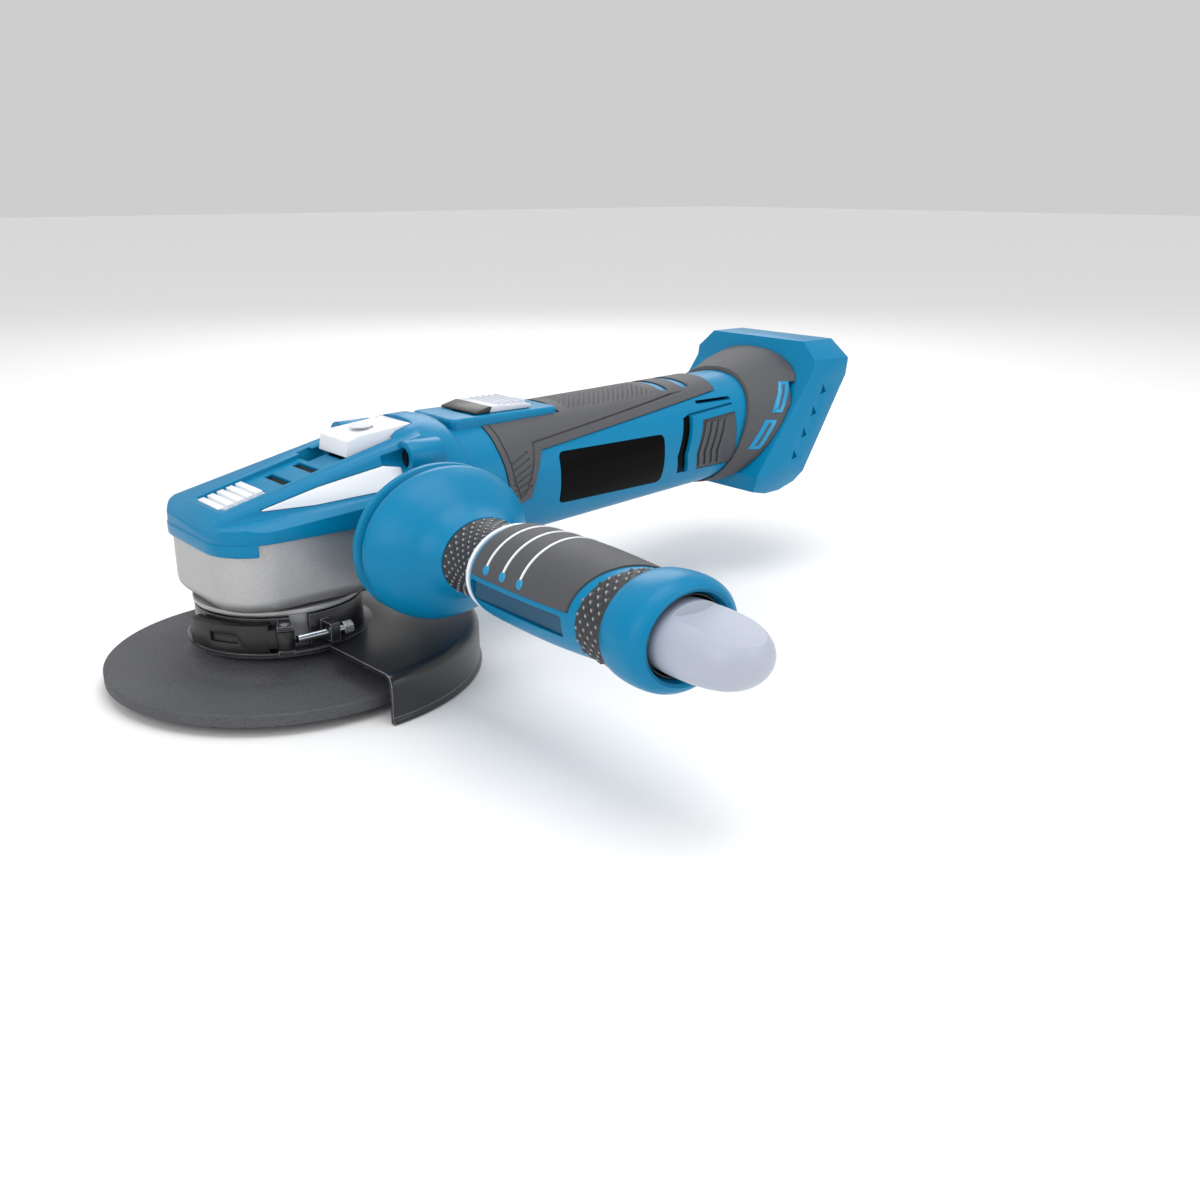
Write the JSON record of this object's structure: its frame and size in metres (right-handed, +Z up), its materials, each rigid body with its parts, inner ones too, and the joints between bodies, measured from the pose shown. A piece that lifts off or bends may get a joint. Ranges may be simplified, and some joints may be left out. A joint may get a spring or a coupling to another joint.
{
  "type": "angle grinder",
  "caption": "Cordless angle grinder with wheel, guard, side handle and slide-on battery foot, built as a working assembly.",
  "frame": {"origin": "centre of the flat end of the spindle, under the lock nut", "axes": "+Z up the spindle, +X back along the tool to the battery foot, -Y out along the side handle"},
  "size_m": [0.303, 0.2546, 0.094],
  "materials": {
    "blue_plastic": "moulded glass-filled nylon, fine satin texture",
    "cast_aluminium": "die-cast, shot-blasted",
    "steel": "ground and turned",
    "plated_steel": "bright zinc plated",
    "dark_steel": "black-oxide and powder coat, satin",
    "rubber": "overmoulded elastomer, fine texture",
    "black_plastic": "moulded, satin",
    "white_plastic": "moulded, semi-gloss",
    "grey_plastic": "moulded, semi-gloss",
    "label": "gloss printed plate, blank",
    "abrasive": "resin-bonded abrasive grit",
    "copper": "drawn copper",
    "circuit_board": "solder mask",
    "magnet": "sintered ferrite"
  },
  "bodies": {
    "housing": {"gear_case": "cast_aluminium", "gear_cover": "blue_plastic", "vent_insert": "white_plastic", "side_insert_left": "white_plastic", "side_insert_right": "white_plastic", "cover_screw_left": "steel", "cover_screw_right": "steel", "lock_spring": "steel", "spindle_bearing_lower": "steel", "spindle_bearing_upper": "steel", "bearing_retainer": "cast_aluminium", "shaft_bearing_front": "steel", "shaft_bearing_rear": "steel", "motor_can": "dark_steel", "motor_magnet_left": "magnet", "motor_magnet_right": "magnet", "motor_end_cap": "black_plastic", "motor_brush_left": "magnet", "motor_brush_right": "magnet", "body_shell_left": "blue_plastic", "body_shell_right": "blue_plastic", "grip_rubber": "rubber", "label_plate_left": "label", "label_plate_right": "label", "vent_panel_left": "rubber", "vent_panel_right": "rubber", "switch_unit": "black_plastic", "control_board": "circuit_board", "battery_foot": "blue_plastic", "foot_rubber": "rubber", "terminal_block": "black_plastic", "terminal_left": "copper", "terminal_right": "copper"},
    "spindle": {"spindle": "steel", "ring_gear": "steel", "inner_flange": "steel", "grinding_disc": "abrasive", "lock_nut": "steel"},
    "rotor": {"rotor_shaft": "steel", "pinion": "steel", "rotor_core": "dark_steel", "commutator": "copper", "cooling_fan": "black_plastic"},
    "lock": {"lock_button": "white_plastic", "lock_pin": "steel"},
    "switch": {"slide_switch": "white_plastic", "switch_rod": "black_plastic"},
    "guard": {"guard": "dark_steel", "guard_clamp_band": "dark_steel", "guard_lever_pin": "steel", "guard_clamp_screw": "plated_steel"},
    "lever": {"guard_lever": "black_plastic"},
    "handle_washer": {"handle_washer": "steel"},
    "handle": {"handle_stud": "steel", "handle_flange": "blue_plastic", "handle_neck": "rubber", "handle_core": "blue_plastic", "handle_pad": "rubber", "handle_ring": "blue_plastic", "handle_end_cap": "grey_plastic"}
  },
  "joints": [
    {"name": "spindle_spin", "type": "hinge", "parent": "housing", "child": "spindle", "pos_m": [0, 0, 0.0034], "axis": [0, 0, 1], "continuous": true},
    {"name": "rotor_spin", "type": "hinge", "parent": "housing", "child": "rotor", "pos_m": [0, 0, 0.0504], "axis": [1, 0, 0], "continuous": true},
    {"name": "lock_press", "type": "slide", "parent": "housing", "child": "lock", "axis": [0, 0, -1], "range_m": [0, 0.0035], "stiffness_N_per_m": 1200, "springref_m": -0.001, "deforming": ["lock_spring"]},
    {"name": "switch_slide", "type": "slide", "parent": "housing", "child": "switch", "axis": [-1, 0, 0], "range_m": [0, 0.008], "stiffness_N_per_m": 300, "springref_m": -0.002},
    {"name": "guard_turn", "type": "hinge", "parent": "housing", "child": "guard", "pos_m": [0, 0, 0.0184], "axis": [0, 0, 1], "range_deg": [-60, 60]},
    {"name": "lever_open", "type": "hinge", "parent": "guard", "child": "lever", "pos_m": [-0.01266, -0.02982, 0.0184], "axis": [0, 0, 1], "range_deg": [0, 100]},
    {"name": "handle_advance", "type": "slide", "parent": "housing", "child": "handle_washer", "axis": [0, -1, 0], "range_m": [0, 0.012]},
    {"name": "handle_unscrew", "type": "hinge", "parent": "handle_washer", "child": "handle", "pos_m": [0.033, 0, 0.0459], "axis": [0, -1, 0], "range_deg": [0, 2880]}
  ],
  "couplings": [
    {"joint": "rotor_spin", "follows": "spindle_spin", "ratio": 3.3636},
    {"joint": "handle_advance", "follows": "handle_unscrew", "m_per_rad": 0.00023873}
  ]
}
